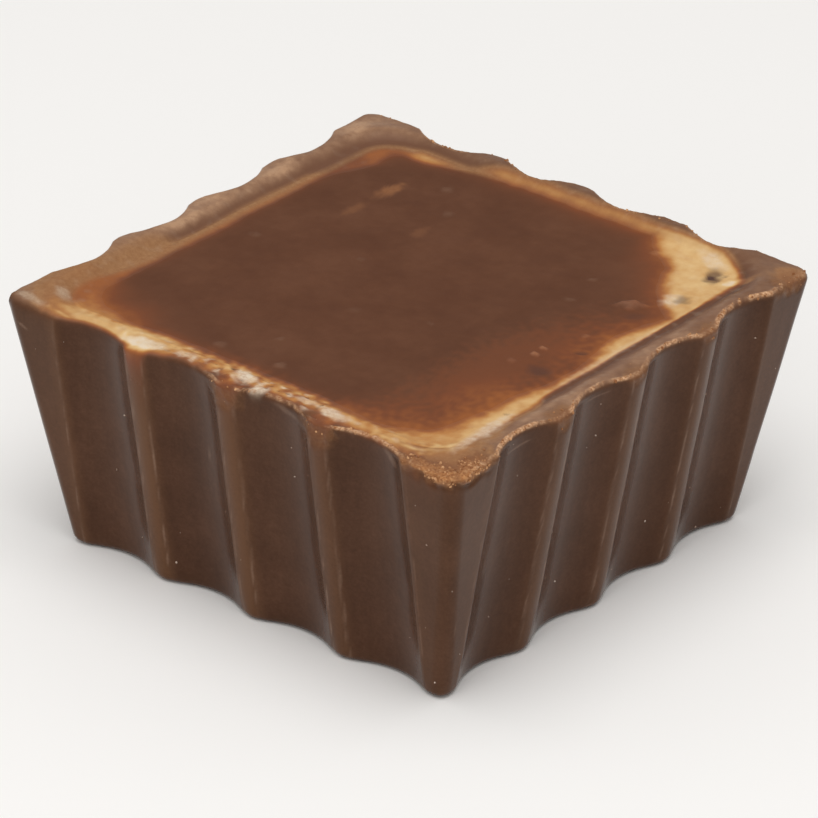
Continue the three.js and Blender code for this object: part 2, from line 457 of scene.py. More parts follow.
# layers of hills that make the pieces uneven: amount, size across, seed
hillLayers = {
    "tubEdge": [(0.06, 3, 11)],
    "coatEdge": [(0.1, 1.6, 12), (0.05, 0.7, 13)],
    "thinEdge": [(0.1, 1.1, 14)],
    "crumbEdge": [(0.2, 0.5, 15)],
    "crumbReach": [(0.25, 0.6, 16)],
    "mottle": [(0.05, 1.4, 17)],
    "crumbMottle": [(0.35, 0.5, 18)],
    "whiteLumps": [(1, 0.55, 19)],
    "darkPits": [(1, 0.4, 20)],
    "patchEdge": [(0.3, 0.45, 21)],
    "hazeAndSheen": [(0.4, 1.8, 22), (0.3, 0.5, 23)],
    "coat": [(0.012, 2.2, 31), (0.004, 0.9, 32)],
    "rim": [(0.05, 2.2, 31), (0.025, 0.9, 32)],
    "crumble": [(0.07, 0.45, 33), (0.04, 0.25, 34)],
    "breakEdge": [(0.25, 0.6, 41)],
    "bite": [(0.3, 0.7, 42)],
    "wall": [(0.03, 5, 44)],
    "torn": [(0.1, 0.3, 45), (0.07, 0.7, 46)],
    "chipsAndGlints": [(1, 0.5, 47)],
    "lip": [(0.9, 1.5, 48), (0.9, 0.33, 43)],
    "teeth": [(1, 0.28, 49), (0.5, 0.9, 53)],
    "rimGrit": [(0.08, 0.3, 50)],
    "rollWaver": [(0.3, 0.8, 51)],
    "rollLumps": [(0.6, 0.5, 52)],
}


def layers(name, x, y):
    return sum(amount * hills(x, y, size, seed) for amount, size, seed in hillLayers[name])


# both are 1 at their place and fall off to nothing
def ridge(value, place, width):
    return np.exp(-((value - place) / width) ** 2)


def mound(x, y, placeX, placeY, reach):
    return np.exp(-((x - placeX) ** 2 + (y - placeY) ** 2) / reach ** 2)


# a raised lump on the coat, painted paler on its lit top and with a painted shadow beside it
coatLump = (9.7, 6.1, 0.8, 0.5, 40)  # x, y, half length, half width, turn
topShape = {
    "tub": (-12.65, 12.65, -13.1, 13.1),  # left, right, front, back
    "tubCorner": 2.0,
    "coat": (-12.4, 11.95, -12.5, 13.55),
    "coatCorner": 2.2,
    "glowLevel": 0.44,
    "bareNormal": (0.774, 0.633),  # the coat stops at this slant line at the back right corner
    "bareReach": 13.1,
    # where the coat's edge bulges or draws back: x, y, reach, push
    "bays": [
        (8.7, 11.2, 2, 0.65),
        (11.3, -11, 2.6, -0.95),
        (11.9, -6.6, 1.8, -0.3),
        (11.9, -2.3, 2.2, 0.38),
        (11.9, 2.6, 1.5, -0.5),
        (8, -12.7, 2, 0.6),
        (-9.4, 13, 2, -1.1),
        (-11.8, 10.4, 2, -1),
        (-8.4, -12.4, 1.4, 0.25),
        (-11.2, -12.2, 1.5, -0.35),
        (11.9, 6.2, 1, 0.4),
    ],
    "thinEdge": 0.5,  # to either side of the coat's edge
    "thinCorner": (-11.2, -12.4, 1.8, 0.8),  # thins out more slowly here: x, y, reach, more
    "coatDrop": 0.36,
    "bandDrop": 0.22,
    "meniscus": 0.7,  # how far in from the tub's edge the top curves up
    "crestPlace": 1.2,  # from the tub's edge out to the rim's crest
    "fallSpan": (1.4, 2.3),
    "edgeFall": 0.05,
    "groove": (0.3, 0.24),  # place from the tub's edge, width
    "seam": (0.12, 0.2),  # the same for the smooth line where the filling laps onto the rim
}

# how the cream and the rim look round the top, blended between spots: x, y, then the spotKeys
# the cream glows under the coat's edge, reaches over the tub's edge and fades there
spotKeys = ["level", "glow", "over", "fade", "groove", "crumbs", "scraped", "hazeAndSheen", "lift", "fill"]
bandSpots = np.array([
    (12.4, 3, 0.78, 1.4, -0.13, 0.16, 0.05, 0.1, 1, 0.56, 0, 0),
    (12.4, -3.5, 0.74, 0.8, -0.1, 0.2, 0.05, 0.15, 1, 0.54, 0, 0),
    (12.3, -7.5, 0.76, 2.2, 0.3, 0.5, 0.02, 0.08, 1, 0.4, 0, 0),
    (12, -11, 0.66, 2.2, 0.6, 1.1, 0, 0.1, 1, 0.35, 0, 0.1),
    (7.5, -13, 0.64, 1.8, 1, 0.6, 0, 0.45, 0.2, 0.2, 0, 0.2),
    (3.5, -13, 0.58, 0.5, 0.85, 0.6, 0, 1, 0.2, 0.2, 0, 0.2),
    (-0.5, -13, 0.62, 0.7, 1, 0.7, 0, 1, 0.2, 0.2, 0, 0.2),
    (-3.2, -13, 0.6, 0.6, 0.95, 0.6, 0, 0.8, 0.2, 0.2, 0, 0.2),
    (-6, -13.2, 0.76, 0.7, 1.6, 0.5, 0, 0.3, 0.2, 0.1, 0, 0.2),
    (-10, -12.6, 0.62, 2.4, 1.25, 0.5, 0, 0.1, 0.5, 0.1, 0.03, 0.2),
    (-13, -12, 0.42, 1.4, 2.2, 0.9, 0, 0.1, 1, 0.4, 0.4, 0.15),
    (-12.5, -7, 0.38, 0.5, 1, 1.4, 0.03, 0.1, 1, 0.6, 0.24, 0),
    (-12.4, -2, 0.44, 0.5, 0, 0.4, 0.12, 0.05, 1, 0.9, 0.24, 0),
    (-12.4, 5, 0.44, 0.5, 0.05, 0.4, 0.06, 0.05, 1, 0.75, 0.24, 0),
    (-12, 9.5, 0.28, 0.6, -0.3, 0.5, 0.05, 0.05, 1, 0.55, 0.26, 0),
    (-11.2, 11.8, 0.42, 0.7, -0.3, 0.5, 0.04, 0.05, 1, 0.6, 0.3, 0),
    (-9, 12.8, 0.66, 0.7, 0.1, 0.45, 0.04, 0.05, 0.8, 0.2, 0.12, 0),
    (-3, 13.3, 0.72, 0.8, 0.75, 0.35, 0, 0.05, 0.7, 0.3, 0.32, 0),
    (3.5, 13.3, 0.7, 1, 0.8, 0.35, 0, 0.05, 0.7, 0.3, 0.3, 0),
    (8, 13, 0.82, 1.7, 0.8, 0.3, 0, 0.1, 0.8, 0.2, 0.26, 0.05),
    (11.2, 10.5, 0.81, 1.3, -0.15, 0.35, 0.04, 0.1, 0.8, 0.3, 0.2, 0.05),
    (12.2, 6.8, 0.76, 1.2, -0.15, 0.14, 0.07, 0.1, 1, 0.35, 0.02, 0),
])

# pale sheen on the rim's bumps: x, y, half length, half width, turn, strength
sheens = [
    (-14, 12.6, 0.7, 1.3, 0, 0.5),
    (-13.8, 6, 0.5, 1.6, 0, 0.4),
    (-13.6, -2, 0.4, 1.3, 4, 0.4),
    (13.5, -7, 0.5, 1.6, 0, 0.2),
]

# smears of cream and thin places of the coat: x, y, half length, half width, turn, level
smears = [
    # a painted highlight along the rounded front edge by the left corner
    (-11.6, -14.5, 1.9, 0.3, 0, 0.26),
    (-9.4, -13.9, 3.2, 0.75, -2, 0.18),
    (12.2, -10.2, 0.5, 1.5, 8, 0.12),
    (10.7, -13.9, 1.8, 0.6, 4, 0.3),
    (12.5, 11.8, 0.4, 1.1, -40, 0.26),
    (13.2, -13.3, 2.6, 1.7, 45, 0.36),
    (14.3, 13.6, 1.1, 1.1, 0, 0.3),
    (8.8, -3.5, 3, 9, -5, 0.17),
    # paler colour on the lump's top, a painted highlight
    (*coatLump, 0.12),
]

# reddish stains on the rib tops, the same way
ribStains = [
    (-6, -14.8, 0.9, 0.8, 0, 0.3),
    (0, -14.7, 1, 0.9, 0, 0.3),
    (6, -14.7, 1, 0.9, 0, 0.3),
    (14.7, -6, 0.8, 1.2, 0, 0.24),
    (14.8, 0, 0.7, 1.2, 0, 0.18),
    (14.8, 6, 0.7, 1.2, 0, 0.24),
]

# dull streaks rubbed through the coat, the same way
rubbed = [
    (-8.3, 8.4, 0.52, 1.4, -4, 0.24),
    (-8.3, 5.4, 0.46, 1.1, 2, 0.15),
    (-3.9, 5.5, 0.44, 1, 6, 0.12),
]

# whitish veils in the cream: x, y, half length, half width, turn, strength
milkyPatches = [
    (-6, -13.9, 1.4, 0.5, 6, 0.75),
    (-3.6, -13.5, 0.7, 0.35, 10, 0.4),
    (0.1, -13.3, 1, 0.55, -30, 0.8),
    (1.7, -14.1, 0.6, 0.4, 60, 0.65),
    (4.2, -13.3, 0.8, 0.35, 0, 0.4),
    (6, -13.5, 1.1, 0.45, -10, 0.65),
    (-12.6, -12.9, 0.7, 0.45, -50, 0.32),
    # a painted highlight along the rounded front edge at the left corner
    (-13.6, -14.3, 1.3, 0.3, -6, 0.25),
    (12.6, -9.4, 0.5, 2.2, 4, 0.56),
    (12.8, -11.8, 0.35, 1.1, 8, 0.28),
    (10.9, 8, 0.6, 0.8, 10, 0.55),
    (9.9, 12.9, 1.2, 0.5, -25, 0.45),
    # the same painted highlight on the lump's top
    (*coatLump, 0.06),
    (12.35, 0.5, 0.3, 5, 0, 0.18),
]

# small light specks on the coat: x, y, size, strength
specks = [
    (-6, 10.4, 0.4, 0.7),
    (-4.1, 8.2, 0.34, 0.6),
    (-10.3, -0.4, 0.34, 0.5),
    (-4.2, 1, 0.26, 0.4),
    (-0.7, -3.7, 0.34, 0.3),
    (3.2, -2.3, 0.2, 0.5),
    (-1.5, -8.7, 0.22, 0.6),
    (0.4, -10.9, 0.36, 0.8),
    (-3.4, -11.2, 0.36, 0.7),
    (6.4, 7.1, 0.24, 0.6),
    (6.9, 4.5, 0.28, 0.6),
    (7, 11.8, 0.32, 0.7),
    (9.3, -1.5, 0.24, 1.8),
    (9.2, -0.7, 0.2, 1.5),
    (8.8, -2.8, 0.26, 0.6),
    (10, 1.8, 0.24, 0.6),
]

# dark flecks and dents, and a painted shadow beside the coat's lump: x, y, half length, half width, turn,
# strength
flecks = [
    (10.75, 11.9, 0.46, 0.66, 20, 0.75),
    (11.05, 11.3, 0.5, 0.58, -20, 0.7),
    (11.4, 12, 0.14, 0.2, 0, 0.5),
    (11.3, 8.4, 0.46, 0.56, 30, 0.55),
    (11, 0.2, 0.4, 0.22, 40, 0.6),
    (10.5, -2.7, 0.75, 0.6, 0, 0.62),
    (-0.8, -13, 0.22, 0.26, 30, 0.8),
    (0.6, -13.9, 0.16, 0.16, 0, 0.6),
    # a painted shadow below and right of the coat's lump, which also dents the top a little
    (10.5, 5.2, 0.7, 0.4, 40, 0.35),
    (12.2, -7.5, 0.2, 0.12, 0, 0.35),
]


def roundedBox(x, y, box, corner):
    left, right, front, back = box
    overX = np.abs(x - (left + right) / 2) - (right - left) / 2 + corner
    overY = np.abs(y - (front + back) / 2) - (back - front) / 2 + corner
    outside = np.hypot(np.maximum(overX, 0), np.maximum(overY, 0))
    return outside + np.minimum(np.maximum(overX, overY), 0) - corner


def tubDistance(x, y):
    return roundedBox(x, y, topShape["tub"], topShape["tubCorner"]) + layers("tubEdge", x, y)


def coatDistance(x, y):
    slantX, slantY = topShape["bareNormal"]
    whole = roundedBox(x, y, topShape["coat"], topShape["coatCorner"])
    slant = x * slantX + y * slantY - topShape["bareReach"]
    distance = np.maximum(whole, slant)
    for bayX, bayY, reach, push in topShape["bays"]:
        distance = distance - push * mound(x, y, bayX, bayY, reach)
    return distance + layers("coatEdge", x, y)


def spotValues(x, y):
    weights = []
    for spot in bandSpots:
        apart = (x - spot[0]) ** 2 + (y - spot[1]) ** 2
        weights.append(1 / (apart + 0.4) ** 2)
    shares = np.array(weights) / np.sum(weights, axis=0)
    return dict(zip(spotKeys, bandSpots[:, 2:].T @ shares))


def patchesAt(x, y, patches):
    total = np.zeros_like(x)
    for patchX, patchY, length, width, turn, amount in patches:
        angle = math.radians(turn)
        along = (x - patchX) * math.cos(angle) + (y - patchY) * math.sin(angle)
        across = (y - patchY) * math.cos(angle) - (x - patchX) * math.sin(angle)
        far = np.hypot(along / length, across / width) + layers("patchEdge", x, y)
        total = total + amount * (1 - smooth(far, 0.35, 1.25))
    return total


def specksAt(x, y):
    rounds = [(speckX, speckY, size, size, 0, amount) for speckX, speckY, size, amount in specks]
    return patchesAt(x, y, rounds)


# how much cream shows at a place on the top: 0 is brown, 1 is whitish
# it glows amber through the thin edge of the coat, and is bare beyond it
def creamAt(x, y):
    spot = spotValues(x, y)
    level = spot["level"]
    crumbs = spot["crumbs"]
    edge = coatDistance(x, y) + layers("thinEdge", x, y) + crumbs * layers("crumbEdge", x, y)
    through = np.minimum(topShape["glowLevel"], level) * np.exp(np.minimum(edge, 0) / spot["glow"])
    slowX, slowY, reach, more = topShape["thinCorner"]
    thin = topShape["thinEdge"] + more * mound(x, y, slowX, slowY, reach)
    bare = smooth(edge, -thin, thin)
    past = tubDistance(x, y) - spot["over"] + crumbs * layers("crumbReach", x, y)
    fall = 1 - smooth(past / spot["fade"], -1.0, 1.0)
    mottle = 1 + layers("mottle", x, y) + crumbs * layers("crumbMottle", x, y)
    band = (through + (level - through) * bare) * fall * mottle
    smeared = patchesAt(x, y, smears + ribStains + rubbed)
    return np.clip(band + smeared + 0.1 * specksAt(x, y), 0, 1)


# the crumbly stretch of the band, where white lumps and dark pits show
def crumblyBand(x, y):
    share = 0.6 * spotValues(x, y)["crumbs"]
    return share * smooth(coatDistance(x, y), -0.2, 0.3) * (1 - smooth(tubDistance(x, y), 0.6, 1.4))


def milkyAt(x, y):
    lumps = crumblyBand(x, y) * smooth(layers("whiteLumps", x, y), 0.15, 0.7)
    return np.clip(patchesAt(x, y, milkyPatches) + 0.05 * specksAt(x, y) + lumps, 0, 1)


def shadeAt(x, y):
    pits = crumblyBand(x, y) * smooth(layers("darkPits", x, y), 0.45, 0.8)
    return np.clip(patchesAt(x, y, flecks) + pits, 0, 1)


# how far the colour of the scraped rim has taken over
def scrapedAt(x, y):
    left = smooth(-x, 9.0, 11.5) * smooth(y, -11.0, -6.0)
    back = smooth(y, 10.5, 12.5) * (1 - smooth(x, -8.0, -3.0))
    further = 0.6 * np.maximum(left, back)  # the stain runs further in on the far sides
    scraped = spotValues(x, y)["scraped"] * smooth(tubDistance(x, y) + further, -0.1, 0.5)
    return np.clip(scraped + 1.5 * patchesAt(x, y, rubbed) - 2.0 * patchesAt(x, y, ribStains), 0, 1)


# how pale the scraped rim is painted: partly its paler scraped colour, partly painted sheen toward its crest
def hazeAndSheenAt(x, y):
    outer = smooth(tubDistance(x, y), 0.25, 1.0)
    streaky = 0.75 + layers("hazeAndSheen", x, y)
    return np.clip(spotValues(x, y)["hazeAndSheen"] * outer * streaky + patchesAt(x, y, sheens), 0, 1)


def paintTop(mesh, x, y, onTop=1.0, spill=1.0):
    writeValues(mesh, "cream", creamAt(x, y) * spill)
    writeValues(mesh, "milky", milkyAt(x, y) * spill)
    writeValues(mesh, "scraped", scrapedAt(x, y) * onTop)
    writeValues(mesh, "hazeAndSheen", hazeAndSheenAt(x, y) * onTop)
    writeValues(mesh, "shade", shadeAt(x, y) * onTop)


# height of the top above the plain rim, from the coat in the middle out over the rim
def topHeight(x, y):
    spot = spotValues(x, y)
    past = tubDistance(x, y)
    pool = -topShape["coatDrop"]
    bandDrop = topShape["bandDrop"] - spot["fill"]
    meniscus = (topShape["coatDrop"] - bandDrop) * np.exp(np.minimum(past, 0) / topShape["meniscus"])
    crest = (bandDrop + spot["lift"]) * smooth(past, 0, topShape["crestPlace"])
    valley = spot["groove"] * ridge(past, *topShape["groove"])
    outerFall = topShape["edgeFall"] * smooth(past, *topShape["fallSpan"])
    onRim = smooth(past, -0.4, 0.6)
    lumps = layers("coat", x, y) + onRim * layers("rim", x, y)
    seam = 0.85 * ridge(past, *topShape["seam"])
    grit = spot["crumbs"] * smooth(coatDistance(x, y), -0.3, 0.6) * layers("crumble", x, y) * (1 - seam)
    bump = patchesAt(x, y, [(*coatLump, 0.2)])
    dents = 0.05 * specksAt(x, y) - 0.12 * shadeAt(x, y)
    return pool + meniscus + crest - valley - outerFall + lumps + grit + bump + dents


# mesh data in and out, in millimetres

def readPlaces(mesh):
    places = np.empty(len(mesh.vertices) * 3, np.float32)
    mesh.vertices.foreach_get("co", places)
    return places.reshape(-1, 3).astype(float) / mm


def writePlaces(mesh, places):
    mesh.vertices.foreach_set("co", (places * mm).astype(np.float32).ravel())
    mesh.update()


def readValues(mesh, name):
    values = np.empty(len(mesh.vertices), np.float32)
    mesh.attributes[name].data.foreach_get("value", values)
    return values.astype(float)


def writeValues(mesh, name, values):
    store = mesh.attributes.new(name, "FLOAT", "POINT")
    store.data.foreach_set("value", np.asarray(values, np.float32))


# fluted case: one sheet of rows and columns, bent by rule into the moulded shell with its tub

caseSizes = {
    "topSide": 30.0,  # across opposite rib crests
    "baseSide": 25.3,
    "height": rimHeight,
    "topCorner": 0.87,
    "baseCorner": 0.85,
    "baseRound": 0.45,
    "edgeRound": 0.3,
    "flutes": 4,
    "flutePitch": 6.03,
    "fluteWidth": 4.98,
    "fluteDepth": 0.79,
    "ribBow": 0.26,
    "ribSoftness": 0.06,
    "footSoftness": 0.5,  # the ribs are rounded at the foot and crisp from crispHeight up
    "crispHeight": 2.6,
    "flutedShare": 0.8,  # of a side's columns, the rest go round its corners
    "tubX": topShape["tub"][1] * 2,
    "tubY": topShape["tub"][3] * 2,
    "tubCorner": topShape["tubCorner"],
    "lipRound": 0.2,
    "tubFloor": 2.3,
    "wornBand": 2.0,  # finely divided, below the rim
    "weld": 0.002,
    "columns": 960,
    "baseRows": 4,
    "footRows": 6,
    "wallRows": 20,
    "wornRows": 24,
    "edgeRows": 6,
    "rimRows": 28,
    "lipRows": 3,
    "tubRows": 3,
    "floorRows": 2,
}
caseRows = [key for key in caseSizes if key.endswith("Rows")]


def easeRule(share):
    return share * share * (3.0 - share * 2.0)


# a flute is an arc of a circle, and the rib beside it bows outward a little
def fluteDepthRule(along, rise, size):
    pitch = size["flutePitch"]
    last = size["flutes"] - 1.0
    fromFirst = along + last * pitch * 0.5
    nearest = (fromFirst / pitch).work("ROUND").atLeast(0.0).atMost(last)
    offset = (fromFirst - nearest * pitch).work("ABSOLUTE").atMost(pitch * 0.5)
    halfWidth = size["fluteWidth"] * 0.5
    depth = size["fluteDepth"]
    radius = (halfWidth * halfWidth + depth * depth) / (depth * 2.0)
    arc = (radius * radius - offset * offset).work("SQRT") - radius + depth
    fromRib = pitch * 0.5 - offset
    crisp = easeRule((rise / size["crispHeight"]).clamped())
    softness = size["footSoftness"].towards(size["ribSoftness"], crisp)
    onRib = fromRib.atMost(pitch * 0.5 - halfWidth)
    return arc.work("SMOOTH_MAX", onRib * onRib * size["ribBow"], softness), fromRib


def buildCaseTree(sizes, material):
    tree, size = openTree("fluted_case_rule", sizes)
    rows = size[caseRows[0]]
    starts = {caseRows[0]: 0.0}
    for key in caseRows[1:]:
        starts[key] = rows
        rows = rows + size[key]
    sides = 4.0  # each is one unit of the sheet long
    sheet = addNode(tree, "GeometryNodeMeshGrid", {
        "Size X": sides,
        "Size Y": rows,
        "Vertices X": size["columns"] + 1.0,
        "Vertices Y": rows + 1.0,
    })
    position = tree.nodes.new("GeometryNodeInputPosition")
    place = addNode(tree, "ShaderNodeSeparateXYZ", {0: position.outputs[0]})
    around = Rule(tree, place.outputs[0]) + sides / 2
    row = Rule(tree, place.outputs[1]) + rows * 0.5
    share = {key: ((row - starts[key]) / size[key]).clamped() for key in caseRows}

    # profile: up the wall, round the edge, over the rim and down into the tub
    taper = (size["topSide"] - size["baseSide"]) * 0.5 / size["height"]
    footTurn = share["footRows"] * quarterTurn
    edgeTurn = share["edgeRows"] * quarterTurn
    lipTurn = share["lipRows"] * quarterTurn
    wallRise = size["height"] - size["baseRound"] - size["wornBand"] - size["edgeRound"]
    rise = size["baseRound"] * (1.0 - footTurn.cos()) + wallRise * share["wallRows"]
    rise = rise + size["wornBand"] * share["wornRows"] + size["edgeRound"] * edgeTurn.sin()
    inset = size["baseRound"] * (1.0 - footTurn.sin()) + size["edgeRound"] * (1.0 - edgeTurn.cos())
    tubDrop = (size["height"] - size["tubFloor"] - size["lipRound"]) * share["tubRows"]
    drop = size["lipRound"] * (1.0 - lipTurn.cos()) + tubDrop

    # outline: four fluted sides with rounded corners, each side in its own frame
    side = around.work("FLOOR")
    across = (around - side) * 2.0 - 1.0
    reach = across.work("ABSOLUTE")
    half = size["baseSide"] * 0.5 + taper * rise - inset
    corner = size["baseCorner"].towards(size["topCorner"], rise / size["height"])
    flutedHalf = ((size["flutes"] - 1.0) * size["flutePitch"] + size["fluteWidth"]) * 0.5
    onFlutes = flutedHalf * (reach / size["flutedShare"]).clamped()
    pastFlutes = ((reach - size["flutedShare"]) / (1.0 - size["flutedShare"])).clamped()
    straight = half - corner - flutedHalf
    path = pastFlutes * (straight + corner * (quarterTurn / 2))
    bend = (path - straight).atLeast(0.0) / corner
    flat = onFlutes + path.atMost(straight)
    along = flat + corner * bend.sin()
    flute, fromRib = fluteDepthRule(onFlutes, rise, size)
    out = half - corner * (1.0 - bend.cos()) - flute * (1.0 - pastFlutes)

    # the tub's mouth, met by the rim's rows
    odd = side.work("FLOORED_MODULO", 2.0)
    shrink = size["lipRound"] * (1.0 - lipTurn.sin()) - taper * tubDrop
    tubAlong = size["tubX"].towards(size["tubY"], odd) * 0.5 + shrink
    tubOut = size["tubY"].towards(size["tubX"], odd) * 0.5 + shrink
    flatShare = flat / (flutedHalf + straight)
    flatLoss = (flutedHalf + straight - tubAlong + size["tubCorner"]) * flatShare.work("POWER", 4.0)
    mouthAlong = flat - flatLoss + size["tubCorner"] * bend.sin()
    mouthOut = tubOut - size["tubCorner"] * (1.0 - bend.cos())
    middle = share["baseRows"] * (1.0 - share["floorRows"])
    finalAlong = along.towards(mouthAlong, share["rimRows"]) * middle * across.work("SIGN")
    finalOut = out.towards(mouthOut, share["rimRows"]) * middle

    turn = side * quarterTurn
    bent = addNode(tree, "ShaderNodeCombineXYZ", {
        "X": finalAlong * turn.cos() + finalOut * turn.sin(),
        "Y": finalAlong * turn.sin() - finalOut * turn.cos(),
        "Z": rise - drop,
    })
    geometry = sheet.outputs["Mesh"]
    marks = {"along": along * across.work("SIGN"), "side": side, "row": row, "fromRib": fromRib}
    for name, value in marks.items():
        geometry = passOn(tree, geometry, "StoreNamedAttribute", {"Name": name, "Value": value})
    geometry = passOn(tree, geometry, "SetPosition", {"Position": bent.outputs[0]})
    geometry = passOn(tree, geometry, "MergeByDistance", {"Distance": size["weld"]})
    geometry = passOn(tree, geometry, "Transform", {"Scale": (mm, mm, mm)})
    geometry = passOn(tree, geometry, "SetShadeSmooth")
    return closeTree(tree, geometry, material)


# the filling's thin edge laps onto the rim, which dips under it
fillingEdge = {"overlap": 0.2, "sink": 0.014, "sinkSpan": (-0.1, 0.12)}


# wear of the case: broken rib tops, a crumbly lip, melted edges and an uneven scraped rim

ribPitch = caseSizes["flutePitch"]

# broken places: side, place along it, half width, drop, bite, grit
brokenTops = [
    (0, 0, 1.2, 1.5, 0.22, 0.25),
    (0, ribPitch, 1.3, 1.5, 0.26, 0.3),
    (0, 13.4, 2.4, 0.8, 0.12, 1),
    (1, -13.6, 2, 0.7, 0.1, 1),
    (1, -ribPitch, 1, 0.9, 0.16, 0.3),
    (1, 0, 0.9, 0.7, 0.12, 0.25),
    (1, ribPitch, 0.9, 0.7, 0.12, 0.25),
    (1, 13.2, 1.4, 0.7, 0.12, 0.4),
    (2, -ribPitch, 0.9, 0.7, 0.14, 0.3),
]

# pale scratches and flakes on the walls:
# side, place along it, depth below the rim, half length, half width, turn, strength
scuffs = [
    (0, -13.7, 1.3, 0.35, 0.09, -25, 0.6),
    (0, 3.6, 0.45, 0.9, 0.2, -10, 0.35),
    (0, 10.4, 0.55, 0.7, 0.26, -35, 0.4),
    (0, -2, 5.2, 0.25, 0.05, 10, 0.5),
    (1, -8.9, 0.85, 1.1, 0.07, 4, 0.5),
    (1, -2.6, 0.55, 0.9, 0.07, 0, 0.35),
    (1, -12.6, 9.8, 0.2, 0.06, 60, 0.7),
]


def rowShare(row, key):
    before = sum(caseSizes[name] for name in caseRows[:caseRows.index(key)])
    return np.clip((row - before) / caseSizes[key], 0, 1)


def outwardAt(x, y):
    core = caseSizes["topSide"] / 2 - caseSizes["topCorner"] - 1.0
    overX = np.sign(x) * np.maximum(np.abs(x) - core, 0)
    overY = np.sign(y) * np.maximum(np.abs(y) - core, 0)
    length = np.maximum(np.hypot(overX, overY), 1e-6)
    return overX / length, overY / length


# the sides differ: 0 is the front, 1 the right, 2 the back and 3 the left
def crumblyEdge(side, along):
    front = (side == 0) * smooth(along, -2.5, 1.0) * (1 - smooth(along, 11.8, 12.6))
    right = (side == 1) * smooth(along, -13.8, -13.0)
    hidden = 0.35 * (side == 2)
    return front + right + hidden


def meltedEdge(side, along):
    front = (side == 0) * (1 - smooth(along, -8.0, -2.0))
    left = (side == 3) * smooth(along, 9.0, 13.0)
    return front + left


# the front right corner is rolled over, with a dark line under the roll
cornerRoll = {"bulge": 0.1, "bulgeWidth": 0.25, "line": 0.14, "lineDepth": 0.6, "lineWidth": 0.2}


def rolledCorner(side, along, below):
    front = (side == 0) * smooth(along, 11.4, 12.6)
    right = (side == 1) * (1 - smooth(along, -12.8, -11.8))
    bulge = cornerRoll["bulge"] * ridge(below, 0, cornerRoll["bulgeWidth"])
    line = cornerRoll["line"] * ridge(below, cornerRoll["lineDepth"], cornerRoll["lineWidth"])
    return (front + right) * (bulge - line)


def stainedRibs(side, along):
    front = (side == 0) * smooth(along, -9.0, -6.5)
    return 0.25 + 0.75 * front


def scuffsAt(side, along, below):
    total = np.zeros_like(along)
    for scuffSide, spot, depth, length, width, turn, amount in scuffs:
        mark = (spot, -depth, length, width, turn, amount)
        total = total + patchesAt(along, -below, [mark]) * (side == scuffSide)
    return total


farAway = 100
caseWear = {
    "ribSpan": (0.3, 0.9),  # from a rib's middle, where its top gives way to the flute
    "ribLip": 0.3,  # share of the crumbly lip on rib tops, other than the front's
    "lipPush": 0.03,
    "toothPush": 0.09,
    "meltedReach": 0.35,
    "meltedPush": 0.12,
    "meltedDrop": 0.1,
    "biteDrop": 0.4,
    "stain": 0.14,  # how far the cream's colour runs down the wall, and how much more on a rib
    "ribStain": 0.9,
    "ribEdge": (0.52, 0.07),  # edges that are chipped and carry a painted glint: place, width
    "flatEdge": (11.6, 0.06),
}


